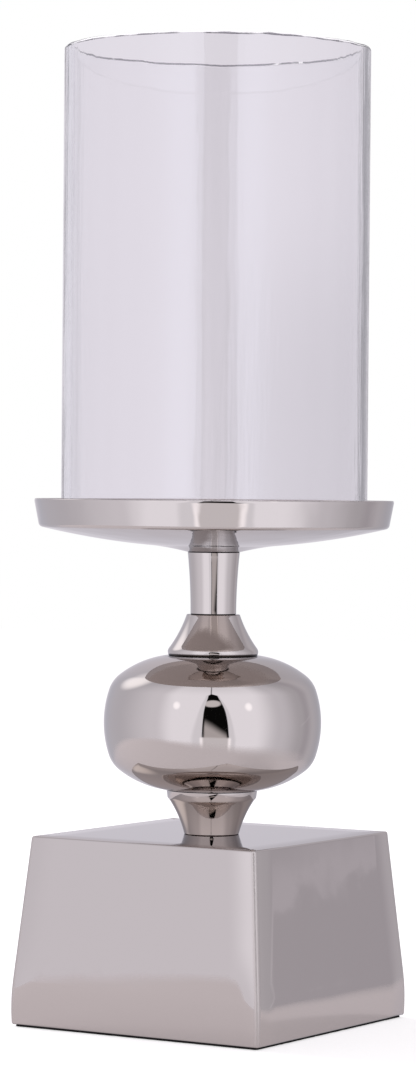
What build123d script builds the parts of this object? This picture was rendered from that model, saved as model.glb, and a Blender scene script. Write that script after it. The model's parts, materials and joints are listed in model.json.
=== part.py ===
"""A tall candle lamp: a clear glass shade in a drip plate, on a turned stem and a square, hollow base.

Millimetres, +Z up. The origin lies under the middle of the felt, where the lamp stands, and the sides of
the base run along X and Y. The stem is a stack of turned pieces, each centred in the next by a spigot. A
threaded rod, screwed into the plate and drawn down by a nut inside the base, clamps the stack together.
The glass only stands in the plate, and lifts off.
"""

import os
from math import acos, asin, cos, degrees, radians, sin, sqrt, tan

from build123d import *

# Base block: a hollow casting whose flanks lean in, and roll under at the bottom
base_width = 141.0
base_height = 91.4
base_draft = 5.15
base_belly_height = 8.5
base_belly_radius = 150.0
base_corner_radius = 1.5
base_top_edge_radius = 1.2
base_foot_edge_radius = 1.2
base_wall = 5.0
base_top_wall = 6.0
base_cavity_corner_radius = 6.0
base_hub_radius = 16.0
base_hub_height = 3.0

# Bottom cover, its four countersunk screws with their bosses, and the felt
cover_thickness = 2.5
cover_gap = 0.3
felt_thickness = 1.0
felt_inset = 0.4
screw_inset = 7.0
screw_diameter = 3.5
screw_length = 12.0
screw_head_diameter = 6.6
screw_head_angle = 90.0
screw_slot_width = 1.0
screw_slot_depth = 0.8
screw_gap = 0.1
screw_end_gap = 1.0
screw_boss_root = 1.0
screw_boss_cap = 4.0

# Tie rod with its nut and washers
rod_diameter = 8.0
rod_tail = 6.0
rod_roof = 3.0
rod_end_gap = 0.5
rod_chamfer = 0.8
thread_gap = 0.05
bore_gap = 0.3
nut_across_flats = 13.0
nut_height = 6.5
nut_chamfer = 0.6
washer_diameter = 24.0
washer_thickness = 2.0
lock_washer_diameter = 14.8
lock_washer_thickness = 2.2
lock_washer_split = 1.2

# Fits of the stack: the spigot of each piece in the socket of the next, and the softened edge at each seam
spigot_diameter = 16.0
spigot_length = 2.5
spigot_gap = 0.15
spigot_end_gap = 0.3
seam_edge_radius = 0.45

# Rims of the neck and of the cone, which meet the flat seats of the ball
rim_radius = 22.4
ball_seat_margin = 0.4

# Neck: flares upwards from the base to its rim under the ball
neck_height = 21.75
neck_foot_radius = 13.4
neck_band_height = 3.85
neck_band_taper = 0.5
neck_shoulder_width = 1.0
neck_shoulder_height = 1.2
neck_flare_bow = 0.8

# Ball: a hollow, flattened globe whose outline is three arcs, from the equator to the flat seat at each pole
ball_width = 106.7
ball_wall = 3.0
ball_side_radius = 51.5
ball_side_turn = 18.0
ball_shoulder_radius = 15.5
ball_shoulder_turn = 34.0
ball_crown_radius = 47.0

# Shoulder cone: flares downwards from the sleeve to its rim on the ball
cone_height = 20.2
cone_top_radius = 13.0
cone_band_height = 2.6
cone_shoulder_width = 0.7
cone_shoulder_height = 0.9
cone_flare_bow = 0.75

# Stem sleeve: upright at its foot, and widening in one arc towards the plate
sleeve_height = 30.6
sleeve_foot_radius = 11.2
sleeve_top_radius = 12.85

# Drip plate: a flared hub and a bowl underneath, a leaning rim, a ledge for the glass and a candle well
plate_hub_radius = 13.2
plate_flare_radius = 30.0
plate_flare_height = 3.1
plate_flare_bow = 0.27
plate_bowl_height = 12.05
plate_bowl_bow = 1.1
plate_bowl_edge_radius = 2.0
plate_rim_height = 13.55
plate_rim_lean = 9.8
plate_rim_thickness = 4.0
plate_rim_edge_radius = 0.6
plate_ledge_depth = 8.0
plate_ledge_margin = 7.0
plate_well_depth = 3.0
plate_step_radius = 1.0
plate_glass_gap = 7.8

# Glass shade
glass_diameter = 150.0
glass_wall = 4.0
glass_height = 229.0
glass_edge_radius = 1.3

# Radii of the fits
rod_radius = rod_diameter / 2
tapped_radius = rod_radius + thread_gap
bore_radius = rod_radius + bore_gap
spigot_radius = spigot_diameter / 2
socket_radius = spigot_radius + spigot_gap
socket_depth = spigot_length + spigot_end_gap
ball_seat_radius = rim_radius + ball_seat_margin
glass_radius = glass_diameter / 2


# Corner of a section, to be rounded
def corner_at(section, radius, height):
    """The vertex of a section sketch at a radius and a height."""
    return section.vertices().sort_by_distance((radius, height))[0]


# Outline of the ball
def crown_turn(inset):
    """Degrees that the crown arc turns before it meets the flat of the pole."""
    side_end = radians(ball_side_turn)
    shoulder_end = radians(ball_side_turn + ball_shoulder_turn)
    side_x = ball_width / 2 - ball_side_radius
    shoulder_x = side_x + (ball_side_radius - ball_shoulder_radius) * cos(side_end)
    crown_x = shoulder_x + (ball_shoulder_radius - ball_crown_radius) * cos(shoulder_end)
    seat_rise = ball_crown_radius * sin(acos((ball_seat_radius - crown_x) / ball_crown_radius))
    flat_angle = asin((seat_rise - inset) / (ball_crown_radius - inset))
    return degrees(flat_angle - shoulder_end)


def ball_quarter(inset):
    """Draw the quarter outline about the middle of the ball, inset by a wall, and return its height."""
    side = JernArc((ball_width / 2 - inset, 0), (0, 1), ball_side_radius - inset, ball_side_turn)
    shoulder = JernArc(side @ 1, side % 1, ball_shoulder_radius - inset, ball_shoulder_turn)
    crown = JernArc(shoulder @ 1, shoulder % 1, ball_crown_radius - inset, crown_turn(inset))
    Polyline(crown @ 1, (0, (crown @ 1).Y), (0, 0), side @ 0)
    return (crown @ 1).Y


with BuildLine():
    ball_half_height = ball_quarter(0)

# Heights up the stack, each worked out from the piece below
base_z = felt_thickness
cover_top_z = base_z + cover_thickness
neck_z = base_z + base_height
ball_low_z = neck_z + neck_height
ball_z = ball_low_z + ball_half_height
cone_z = ball_z + ball_half_height
sleeve_z = cone_z + cone_height
plate_z = sleeve_z + sleeve_height
rim_low_z = plate_z + plate_bowl_height
rim_top_z = rim_low_z + plate_rim_height
ledge_z = rim_top_z - plate_ledge_depth
well_z = ledge_z - plate_well_depth

# Heights down the fastening, from the inside of the base
cavity_top_z = neck_z - base_top_wall
hub_z = cavity_top_z - base_hub_height
washer_z = hub_z - washer_thickness
lock_washer_z = washer_z - lock_washer_thickness
nut_z = lock_washer_z - nut_height
rod_low_z = nut_z - rod_tail
rod_top_z = well_z - rod_roof - rod_end_gap

# Half widths of the base block, of its cavity and of the cover, and the places of the screws
draft_slope = tan(radians(base_draft))
belly_angle = asin(base_belly_height / base_belly_radius)
base_foot_half = base_width / 2 - base_belly_radius * (1 - cos(belly_angle))
mouth_half = base_foot_half - base_wall
cover_half = mouth_half - cover_thickness * draft_slope - cover_gap
cavity_top_half = mouth_half - (cavity_top_z - base_z) * draft_slope
screw_spacing = 2 * (mouth_half - screw_inset)
screw_hole_depth = screw_length - cover_thickness + screw_end_gap

# Base block: its outline is pushed through along X and along Y, and the cavity is open underneath
with BuildPart() as base_block:
    for outline_plane, outline_mode in ((Plane.XZ, Mode.ADD), (Plane.YZ, Mode.INTERSECT)):
        with BuildSketch(outline_plane):
            with BuildLine():
                foot_lean = (sin(belly_angle), cos(belly_angle))
                belly_turn = degrees(belly_angle) + base_draft
                belly = JernArc((base_foot_half, base_z), foot_lean, base_belly_radius, belly_turn)
                flank_rise = neck_z - (belly @ 1).Y
                base_top_half = (belly @ 1).X - flank_rise * draft_slope
                Polyline(belly @ 1, (base_top_half, neck_z), (0, neck_z), (0, base_z), belly @ 0)
            make_face()
            mirror(about=Plane.YZ)
        extrude(amount=base_width, both=True, mode=outline_mode)
    uprights = base_block.edges().filter_by(lambda edge: edge.bounding_box().size.Z > base_corner_radius)
    fillet(uprights, base_corner_radius)
    fillet(base_block.faces().sort_by(Axis.Z)[-1].edges(), base_top_edge_radius)
    fillet(base_block.faces().sort_by(Axis.Z)[0].edges(), base_foot_edge_radius)
    with BuildSketch(Plane.XY.offset(base_z)):
        RectangleRounded(2 * mouth_half, 2 * mouth_half, base_cavity_corner_radius)
    with BuildSketch(Plane.XY.offset(cavity_top_z)):
        RectangleRounded(2 * cavity_top_half, 2 * cavity_top_half, base_cavity_corner_radius)
    loft(ruled=True, mode=Mode.SUBTRACT)
    with BuildSketch(Plane.XY.offset(hub_z)):
        Circle(base_hub_radius)
    extrude(amount=base_hub_height)
    with BuildSketch(Plane.XY.offset(cover_top_z)):
        with GridLocations(screw_spacing, screw_spacing, 2, 2):
            Circle(screw_inset + screw_boss_root)
    extrude(amount=screw_hole_depth + screw_boss_cap)
    with BuildSketch(Plane.XY.offset(cover_top_z)):
        with GridLocations(screw_spacing, screw_spacing, 2, 2):
            Circle(screw_diameter / 2 + thread_gap)
    extrude(amount=screw_hole_depth, mode=Mode.SUBTRACT)
    with Locations((0, 0, neck_z)):
        CounterBoreHole(bore_radius, socket_radius, socket_depth)
base_block.part.label = "base_block"

# Bottom cover, inside the mouth of the block and up against its bosses
with BuildPart() as base_cover:
    with BuildSketch(Plane.XY.offset(base_z)):
        RectangleRounded(2 * cover_half, 2 * cover_half, base_cavity_corner_radius)
    extrude(amount=cover_thickness)
    with Locations(Plane(origin=(0, 0, base_z), z_dir=(0, 0, -1))):
        with GridLocations(screw_spacing, screw_spacing, 2, 2):
            CounterSinkHole(
                screw_diameter / 2 + screw_gap,
                screw_head_diameter / 2 + screw_gap,
                counter_sink_angle=screw_head_angle,
            )
base_cover.part.label = "base_cover"

# Cover screws, with slotted heads flush with the cover
with BuildPart(Plane.XY.offset(base_z)) as cover_screws:
    upwards = (Align.CENTER, Align.CENTER, Align.MIN)
    head_height = (screw_head_diameter - screw_diameter) / 2 / tan(radians(screw_head_angle / 2))
    with GridLocations(screw_spacing, screw_spacing, 2, 2):
        Cone(screw_head_diameter / 2, screw_diameter / 2, head_height, align=upwards)
        Cylinder(screw_diameter / 2, screw_length, align=upwards)
        Box(screw_head_diameter, screw_slot_width, screw_slot_depth, align=upwards, mode=Mode.SUBTRACT)
cover_screws.part.label = "cover_screws"

# Felt under the block
with BuildPart() as base_felt:
    with BuildSketch(Plane.XY):
        felt_side = 2 * (base_foot_half - base_foot_edge_radius - felt_inset)
        RectangleRounded(felt_side, felt_side, base_corner_radius)
    extrude(amount=felt_thickness)
base_felt.part.label = "base_felt"

# Tie rod, from below the nut into the tapped hole of the plate
with BuildPart() as tie_rod:
    with BuildSketch(Plane.XY.offset(rod_low_z)):
        Circle(rod_radius)
    extrude(amount=rod_top_z - rod_low_z)
    chamfer(tie_rod.edges().filter_by(GeomType.CIRCLE), rod_chamfer)
tie_rod.part.label = "tie_rod"

# Flat washer against the hub inside the base
with BuildPart() as rod_washer:
    with BuildSketch(Plane.XY.offset(washer_z)):
        Circle(washer_diameter / 2)
        Circle(bore_radius, mode=Mode.SUBTRACT)
    extrude(amount=washer_thickness)
rod_washer.part.label = "rod_washer"

# Split lock washer
with BuildPart() as lock_washer:
    with BuildSketch(Plane.XY.offset(lock_washer_z)):
        Circle(lock_washer_diameter / 2)
        Circle(bore_radius, mode=Mode.SUBTRACT)
        with Locations((lock_washer_diameter / 2, 0)):
            Rectangle(lock_washer_diameter, lock_washer_split, mode=Mode.SUBTRACT)
    extrude(amount=lock_washer_thickness)
lock_washer.part.label = "lock_washer"

# Hexagon nut, with its corners turned off at both ends
with BuildPart() as rod_nut:
    with BuildSketch(Plane.XY.offset(nut_z)):
        RegularPolygon(nut_across_flats / 2, 6, major_radius=False)
        Circle(tapped_radius, mode=Mode.SUBTRACT)
    extrude(amount=nut_height)
    with BuildSketch(Plane.XZ):
        nut_corner_radius = nut_across_flats / sqrt(3)
        Polygon(
            (0, nut_z),
            (nut_across_flats / 2, nut_z),
            (nut_corner_radius, nut_z + nut_chamfer),
            (nut_corner_radius, lock_washer_z - nut_chamfer),
            (nut_across_flats / 2, lock_washer_z),
            (0, lock_washer_z),
            align=None,
        )
    revolve(axis=Axis.Z, mode=Mode.INTERSECT)
rod_nut.part.label = "rod_nut"

# Lower neck, with a spigot at each end
with BuildPart() as lower_neck:
    with BuildSketch(Plane.XZ) as neck_section:
        with BuildLine():
            band_radius = rim_radius - neck_band_taper
            band_z = ball_low_z - neck_band_height
            shoulder = (band_radius - neck_shoulder_width, band_z - neck_shoulder_height)
            flare = SagittaArc((neck_foot_radius, neck_z), shoulder, neck_flare_bow)
            Polyline(
                flare @ 1,
                (band_radius, band_z),
                (rim_radius, ball_low_z),
                (spigot_radius, ball_low_z),
                (spigot_radius, ball_low_z + spigot_length),
                (bore_radius, ball_low_z + spigot_length),
                (bore_radius, neck_z - spigot_length),
                (spigot_radius, neck_z - spigot_length),
                (spigot_radius, neck_z),
                flare @ 0,
            )
        make_face()
        fillet(corner_at(neck_section, rim_radius, ball_low_z), seam_edge_radius)
        fillet(corner_at(neck_section, neck_foot_radius, neck_z), seam_edge_radius)
    revolve(axis=Axis.Z)
lower_neck.part.label = "lower_neck"

# Ball shell, with a socket through each pole
with BuildPart() as ball_shell:
    with BuildSketch(Plane((0, 0, ball_z), x_dir=(1, 0, 0), z_dir=(0, -1, 0))):
        with BuildLine():
            ball_quarter(0)
        make_face()
        with BuildLine():
            ball_quarter(ball_wall)
        make_face(mode=Mode.SUBTRACT)
    revolve(axis=Axis.Z)
    mirror(about=Plane.XY.offset(ball_z))
    with Locations((0, 0, cone_z)):
        Hole(socket_radius)
ball_shell.part.label = "ball_shell"

# Shoulder cone, with a spigot into the ball and a socket for the sleeve
with BuildPart() as shoulder_cone:
    with BuildSketch(Plane.XZ) as cone_section:
        with BuildLine():
            cone_band_z = cone_z + cone_band_height
            cone_shoulder = (rim_radius - cone_shoulder_width, cone_band_z + cone_shoulder_height)
            flare = SagittaArc(cone_shoulder, (cone_top_radius, sleeve_z), cone_flare_bow)
            Polyline(
                flare @ 1,
                (socket_radius, sleeve_z),
                (socket_radius, sleeve_z - socket_depth),
                (bore_radius, sleeve_z - socket_depth),
                (bore_radius, cone_z - spigot_length),
                (spigot_radius, cone_z - spigot_length),
                (spigot_radius, cone_z),
                (rim_radius, cone_z),
                (rim_radius, cone_band_z),
                flare @ 0,
            )
        make_face()
        fillet(corner_at(cone_section, rim_radius, cone_z), seam_edge_radius)
        fillet(corner_at(cone_section, rim_radius, cone_band_z), seam_edge_radius)
        fillet(corner_at(cone_section, cone_top_radius, sleeve_z), seam_edge_radius)
    revolve(axis=Axis.Z)
shoulder_cone.part.label = "shoulder_cone"

# Stem sleeve, with a spigot at each end
with BuildPart() as stem_sleeve:
    with BuildSketch(Plane.XZ) as sleeve_section:
        with BuildLine():
            side = TangentArc((sleeve_foot_radius, sleeve_z), (sleeve_top_radius, plate_z), tangent=(0, 1))
            Polyline(
                side @ 1,
                (spigot_radius, plate_z),
                (spigot_radius, plate_z + spigot_length),
                (bore_radius, plate_z + spigot_length),
                (bore_radius, sleeve_z - spigot_length),
                (spigot_radius, sleeve_z - spigot_length),
                (spigot_radius, sleeve_z),
                side @ 0,
            )
        make_face()
        fillet(corner_at(sleeve_section, sleeve_foot_radius, sleeve_z), seam_edge_radius)
        fillet(corner_at(sleeve_section, sleeve_top_radius, plate_z), seam_edge_radius)
    revolve(axis=Axis.Z)
stem_sleeve.part.label = "stem_sleeve"

# Drip plate, with a socket for the sleeve and a tapped hole for the rod
with BuildPart() as drip_plate:
    rim_slope = tan(radians(plate_rim_lean))
    rim_inner_low = glass_radius + plate_glass_gap
    rim_inner_top = rim_inner_low + plate_ledge_depth * rim_slope
    rim_outer_top = rim_inner_top + plate_rim_thickness
    rim_outer_low = rim_outer_top - plate_rim_height * rim_slope
    well_radius = glass_radius - glass_wall - plate_ledge_margin
    with BuildSketch(Plane.XZ) as plate_section:
        with BuildLine():
            hub_end = (plate_flare_radius, plate_z + plate_flare_height)
            hub_flare = SagittaArc((plate_hub_radius, plate_z), hub_end, plate_flare_bow)
            bowl = SagittaArc(hub_end, (rim_outer_low, rim_low_z), -plate_bowl_bow)
            Polyline(
                bowl @ 1,
                (rim_outer_top, rim_top_z),
                (rim_inner_top, rim_top_z),
                (rim_inner_low, ledge_z),
                (well_radius, ledge_z),
                (well_radius, well_z),
                (0, well_z),
                (0, well_z - rod_roof),
                (tapped_radius, well_z - rod_roof),
                (tapped_radius, plate_z + socket_depth),
                (socket_radius, plate_z + socket_depth),
                (socket_radius, plate_z),
                hub_flare @ 0,
            )
        make_face()
        fillet(corner_at(plate_section, rim_outer_low, rim_low_z), plate_bowl_edge_radius)
        fillet(corner_at(plate_section, rim_outer_top, rim_top_z), plate_rim_edge_radius)
        fillet(corner_at(plate_section, rim_inner_top, rim_top_z), plate_rim_edge_radius)
        fillet(corner_at(plate_section, rim_inner_low, ledge_z), plate_step_radius)
        fillet(corner_at(plate_section, well_radius, ledge_z), plate_step_radius)
        fillet(corner_at(plate_section, well_radius, well_z), plate_step_radius)
    revolve(axis=Axis.Z)
drip_plate.part.label = "drip_plate"

# Glass shade, open at both ends, with fire-polished edges
with BuildPart() as glass_shade:
    with BuildSketch(Plane.XY.offset(ledge_z)):
        Circle(glass_radius)
        Circle(glass_radius - glass_wall, mode=Mode.SUBTRACT)
    extrude(amount=glass_height)
    fillet(glass_shade.edges().filter_by(GeomType.CIRCLE), glass_edge_radius)
glass_shade.part.label = "glass_shade"

pieces = (
    base_block,
    base_cover,
    cover_screws,
    base_felt,
    tie_rod,
    rod_washer,
    lock_washer,
    rod_nut,
    lower_neck,
    ball_shell,
    shoulder_cone,
    stem_sleeve,
    drip_plate,
    glass_shade,
)
os.makedirs("parts", exist_ok=True)
for piece in pieces:
    export_step(piece.part, f"parts/{piece.part.label}.step")
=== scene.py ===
"""Looks of the candle lamp: mirror-polished metal, clear glass and felt, in a small white light tent.

Metres, +Z up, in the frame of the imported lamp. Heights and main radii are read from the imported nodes. The
turned pieces are modelled again as finely turned shells, because a mirror shows every facet.
"""

import json
from itertools import pairwise
from math import asin, atan, atan2, cos, hypot, pi, radians, sin, tan, tau

import bmesh
import bpy
from bpy.props import FloatProperty, FloatVectorProperty, IntProperty, PointerProperty
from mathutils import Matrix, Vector

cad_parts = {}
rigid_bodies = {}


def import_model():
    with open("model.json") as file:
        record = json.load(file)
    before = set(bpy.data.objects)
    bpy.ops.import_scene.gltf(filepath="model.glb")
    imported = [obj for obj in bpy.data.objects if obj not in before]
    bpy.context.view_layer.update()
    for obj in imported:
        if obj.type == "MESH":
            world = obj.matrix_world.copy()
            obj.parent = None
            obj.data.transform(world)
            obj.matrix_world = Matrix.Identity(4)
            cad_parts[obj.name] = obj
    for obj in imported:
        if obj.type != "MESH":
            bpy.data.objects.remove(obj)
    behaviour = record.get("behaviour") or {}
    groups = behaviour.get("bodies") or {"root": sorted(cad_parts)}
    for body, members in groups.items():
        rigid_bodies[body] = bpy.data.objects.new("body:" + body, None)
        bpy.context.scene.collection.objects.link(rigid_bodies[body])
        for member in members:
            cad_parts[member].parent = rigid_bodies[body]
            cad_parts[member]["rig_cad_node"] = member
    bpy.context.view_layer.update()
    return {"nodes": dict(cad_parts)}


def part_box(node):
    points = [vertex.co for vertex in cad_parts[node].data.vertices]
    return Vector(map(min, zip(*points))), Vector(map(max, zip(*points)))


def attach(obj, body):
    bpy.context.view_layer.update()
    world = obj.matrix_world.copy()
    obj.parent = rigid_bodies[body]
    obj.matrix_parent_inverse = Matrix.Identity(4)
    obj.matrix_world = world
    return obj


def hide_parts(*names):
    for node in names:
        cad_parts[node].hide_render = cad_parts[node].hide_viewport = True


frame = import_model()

bl_info = {
    "name": "Candle Lamp",
    "version": (1, 0, 0),
    "blender": (4, 5, 0),
    "location": "3D View > Sidebar > Candle Lamp",
    "description": "Models the polished pieces, the glass and the felt of a candle lamp, and its studio",
    "category": "Object",
}

STAND = "stand"
SHADE = "shade"
MERGE_DISTANCE = 1e-6
PLACE_TOLERANCE = 1e-5
SMOOTH_ANGLE = radians(35)
FLAT_ANGLE = radians(0.2)


# Settings that a user would change

def length(name, description, default):
    """A setting in metres."""
    return FloatProperty(name=name, description=description, default=default, unit="LENGTH", precision=5)


def angle(name, description, degrees):
    """A setting that is an angle."""
    return FloatProperty(name=name, description=description, default=radians(degrees), subtype="ANGLE")


def share(name, description, default):
    """A setting between nothing and all."""
    return FloatProperty(
        name=name, description=description, default=default, min=0, max=1, subtype="FACTOR"
    )


def colour(name, description, default):
    """A setting that is a colour, in linear light."""
    return FloatVectorProperty(
        name=name, description=description, default=default, min=0, max=1, size=3, subtype="COLOR"
    )


def count(name, description, default):
    """A setting that is a whole number."""
    return IntProperty(name=name, description=description, default=default, min=1)


class MetalSettings(bpy.types.PropertyGroup):
    """Finish of the polished metal"""

    nickel: colour("Nickel", "Colour of the polished plate", (0.63, 0.57, 0.535))
    grazing: colour("Grazing", "Tint of the metal at a grazing angle", (0.78, 0.80, 0.83))
    # Painted shade: a dark colour that the metal takes beside each seam, standing in for the shade in the
    # joint between two pieces
    seam_shade_colour: colour("Tarnish", "Colour of the dull film in the seams", (0.055, 0.046, 0.041))
    clean_roughness: share("Clean Roughness", "Where the polish is perfect", 0.02)
    haze_roughness: share("Haze Roughness", "Under faint wipe marks", 0.07)
    wave_length: length("Wave Length", "Distance between the waves of hand polishing", 0.022)
    wave_depth: length("Wave Depth", "Height of those waves", 0.00022)
    level_share: share("Level Share", "What is left of the waves where a face is level", 0.2)
    line_spacing: length("Line Spacing", "Distance between the fine lines of the buffing wheel", 0.0012)
    line_depth: length("Line Depth", "Depth of those lines", 0.0000006)
    # Reach of that painted seam shade
    seam_width: length("Seam Width", "How far the film reaches from a seam", 0.0005)
    steps: count("Steps", "Facets around a turned piece", 144)


class StemSettings(bpy.types.PropertyGroup):
    """Turned pieces between the base and the plate"""

    bore: length("Bore", "Radius of the hole for the rod", 0.0043)
    spigot: length("Spigot", "Radius of the spigot that centres a piece in the next", 0.008)
    spigot_length: length("Spigot Length", "Length of that spigot", 0.0025)
    socket: length("Socket", "Radius of the hole that takes a spigot", 0.00815)
    socket_depth: length("Socket Depth", "Depth of that hole", 0.0028)
    seam_edge: length("Seam Edge", "Softened edge where two pieces meet", 0.00045)
    neck_foot: length("Neck Foot", "Radius of the neck on the base", 0.0134)
    neck_band: length("Neck Band", "Height of the band under the ball", 0.00385)
    neck_band_taper: length("Neck Band Taper", "How much narrower that band is at its foot", 0.0005)
    neck_step_width: length("Neck Step Width", "Width of the step under that band", 0.001)
    neck_step_height: length("Neck Step Height", "Height of the step under that band", 0.0012)
    neck_bow: length("Neck Bow", "How hollow the flare of the neck is", 0.0008)
    ball_wall: length("Ball Wall", "Thickness of the ball's shell", 0.003)
    ball_side: length("Ball Side", "Radius of the arc at the ball's equator", 0.0515)
    ball_side_turn: angle("Ball Side Turn", "Angle of that arc", 18)
    ball_shoulder: length("Ball Shoulder", "Radius of the arc between side and crown", 0.0155)
    ball_shoulder_turn: angle("Ball Shoulder Turn", "Angle of that arc", 34)
    ball_crown: length("Ball Crown", "Radius of the arc towards the pole", 0.047)
    cone_top: length("Cone Top", "Radius of the cone under the sleeve", 0.013)
    cone_band: length("Cone Band", "Height of the band on the ball", 0.0026)
    cone_band_bow: length("Cone Band Bow", "How round that band is", 0.00025)
    cone_band_taper: length("Cone Band Taper", "How much narrower that band is at its foot", 0.00045)
    cone_step_width: length("Cone Step Width", "Width of the step over that band", 0.0007)
    cone_step_height: length("Cone Step Height", "Height of the step over that band", 0.0009)
    cone_bow: length("Cone Bow", "How hollow the flare of the cone is", 0.00075)
    sleeve_foot: length("Sleeve Foot", "Radius of the sleeve on the cone", 0.0112)


class PlateSettings(bpy.types.PropertyGroup):
    """Drip plate"""

    hub: length("Hub", "Radius of the hub on the sleeve", 0.0132)
    flare: length("Flare", "Radius at which the hub's flare meets the bowl", 0.030)
    flare_height: length("Flare Height", "Height of that flare", 0.0031)
    flare_bow: length("Flare Bow", "How hollow that flare is", 0.00027)
    bowl_height: length("Bowl Height", "Height of the hub and the bowl under the rim", 0.01205)
    bowl_bow: length("Bowl Bow", "How full the bowl is", 0.0011)
    bowl_edge: length("Bowl Edge", "Softened edge between bowl and rim", 0.0014)
    rim_thickness: length("Rim Thickness", "Width of the top of the rim", 0.004)
    rim_lean: angle("Rim Lean", "How far the rim leans out", 9.8)
    rim_edge: length("Rim Edge", "Softened edges at the top of the rim", 0.0008)
    rim_land: length("Rim Land", "Height of the narrow land at the top of the rim's outside", 0.0012)
    rim_land_lean: angle("Rim Land Lean", "How far that land leans in", 6)
    well: length("Well", "Radius of the well for the candle", 0.064)
    well_depth: length("Well Depth", "Depth of that well below the glass", 0.003)
    step_edge: length("Step Edge", "Softened edges inside the plate", 0.001)
    tapped: length("Tapped Hole", "Radius of the hole that the rod screws into", 0.00405)
    roof: length("Roof", "Metal left over that hole", 0.003)
    wave_length: length("Wave Length", "Distance between the waves of hand polishing", 0.016)
    wave_depth: length("Wave Depth", "Height of those waves", 0.00035)
    clean_roughness: share("Clean Roughness", "Where the polish is perfect", 0.02)
    haze_roughness: share("Haze Roughness", "Under faint wipe marks", 0.07)
    worn_roughness: share("Worn Roughness", "Inside, where the glass and the candle stand", 0.34)


class BaseSettings(bpy.types.PropertyGroup):
    """Cast base block"""

    half_width: length("Half Width", "Half the width of the base", 0.0705)
    crown_width: length("Crown Width", "How far polishing has rounded a flank from its upright edge", 0.014)
    crown_depth: length("Crown Depth", "How far the middle of a flank stands out over that edge", 0.0011)
    crown_blend: length("Crown Blend", "How far from the middle of the corner that rounding sets in", 0.002)
    swell_depth: length("Swell Depth", "How far the flanks across Y draw in above their foot", 0.0017)
    swell_low: length("Swell Low", "Height at which that starts", -0.004)
    swell_high: length("Swell High", "Height at which that ends", 0.050)
    swell_growth: share("Swell Growth", "How much deeper that gets from mid flank to its +X end", 0.32)
    swell_margin: length("Swell Margin", "Distance from the upright edges at which that is full", 0.014)
    lift_depth: length("Lift Depth", "How far the flanks across X stand out at their foot", 0.0006)
    lift_high: length("Lift High", "Height at which that ends", 0.030)
    top_half: length("Top Half", "Half the width of the top", 0.0622)
    top_width: length("Top Width", "How far polishing has rounded the top from its edges", 0.012)
    top_depth: length("Top Depth", "How far the top falls there", 0.0008)
    edge_width: length("Edge Width", "Width of the upright edges that handling has dulled", 0.0030)
    edge_roughness: share("Edge Roughness", "Roughness of those edges", 0.42)
    wave_length: length("Wave Length", "Distance between the waves of hand polishing", 0.045)
    wave_depth: length("Wave Depth", "Height of those waves", 0.00022)
    clean_roughness: share("Clean Roughness", "Where the polish is perfect", 0.03)
    haze_roughness: share("Haze Roughness", "Under faint wipe marks", 0.065)


class GlassSettings(bpy.types.PropertyGroup):
    """Glass shade"""

    wall: length("Wall", "Thickness of the glass", 0.004)
    edge: length("Edge", "Fire-polished rounding of the edges", 0.0013)
    tint: colour("Tint", "Light that one wall lets through", (0.97, 0.965, 0.975))
    side_tint: colour("Side Tint", "Light that goes a long way through a wall", (0.66, 0.65, 0.69))
    # Partly the grey of the ground edge and partly painted shade, for the dark line along the rim
    rim_edge_and_shade_tint: colour("Edge Tint", "Light that the ground inner edge lets through", (0.07, 0.065, 0.08))
    rim_unevenness: length("Rim Unevenness", "How far the cut rim rises and falls", 0.0016)
    rim_wave: length("Rim Wave", "Distance between those rises", 0.022)
    rim_reach: length("Rim Reach", "Height below the rim that the unevenness fades over", 0.010)
    streak_width: length("Streak Width", "Width of the upright streaks in the drawn glass", 0.012)
    streak_depth: length("Streak Depth", "Height of those streaks", 0.00011)
    steps: count("Steps", "Facets around the glass", 192)


class FeltSettings(bpy.types.PropertyGroup):
    """Felt under the base"""

    shade: colour("Shade", "Colour of the felt", (0.020, 0.018, 0.019))
    fray: length("Fray", "How uneven its cut edge is", 0.0003)
    snips: count("Snips", "Places along each side where the cut edge turns", 55)


class FasteningSettings(bpy.types.PropertyGroup):
    """Fastening inside the lamp"""

    zinc: colour("Zinc", "Colour of the zinc plate", (0.60, 0.62, 0.66))
    warm_zinc: colour("Warm Zinc", "Colour of its yellow patches", (0.66, 0.63, 0.54))
    paint: colour("Paint", "Colour of the cover's paint", (0.018, 0.018, 0.019))
    dust: colour("Dust", "Colour of the dust on it", (0.05, 0.048, 0.046))


class StageSettings(bpy.types.PropertyGroup):
    """Studio around the lamp"""

    lens: FloatProperty(
        name="Lens", description="Focal length, 36 mm long side", default=128.26, subtype="DISTANCE_CAMERA"
    )
    distance: length("Distance", "From the camera to the axis of the lamp", 1.890)
    height: length("Height", "Of the camera over the floor", 0.2655)
    azimuth: angle("Azimuth", "Of the camera, from -Y towards +X", 32)
    aim_left: angle("Aim Left", "How far the camera aims to the left of the axis", 0.095)
    aim_down: angle("Aim Down", "How far the camera aims below the horizon", 0.893)
    roll: angle("Roll", "How far the camera is turned anticlockwise", 0.465)
    floor_size: length("Floor Size", "Width of the floor", 8)
    floor_tone: colour("Floor Tone", "Colour of the floor", (0.61, 0.58, 0.61))
    floor_drop: length("Floor Drop", "How far the floor lies below the felt", 0.0002)
    floor_glow: share("Floor Glow", "White of the floor that shadows don't touch", 0.60)
    cloth_tone: colour("Cloth Tone", "Colour of the cloth that the metal sees there", (0.76, 0.73, 0.79))
    cloth_depth: length("Cloth Depth", "Half the size of that cloth, from front to back", 0.42)
    cloth_width: length("Cloth Width", "Half the size of that cloth, from side to side", 0.52)
    cloth_shift: length("Cloth Shift", "How far that cloth lies to the right of the lamp", -0.16)
    daylight: share("Daylight", "Even light from all around", 0.75)
    key_power: FloatProperty(name="Key Power", description="Power of the soft lamp", default=17, unit="POWER")
    key_size: length("Key Size", "Width of the soft lamp", 1.0)
    key_turn: angle("Key Turn", "From the camera round to the soft lamp, by the left", 130)
    key_distance: length("Key Distance", "From the axis to the soft lamp, over the floor", 1.5)
    key_height: length("Key Height", "Of the soft lamp over the floor", 1.125)


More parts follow.
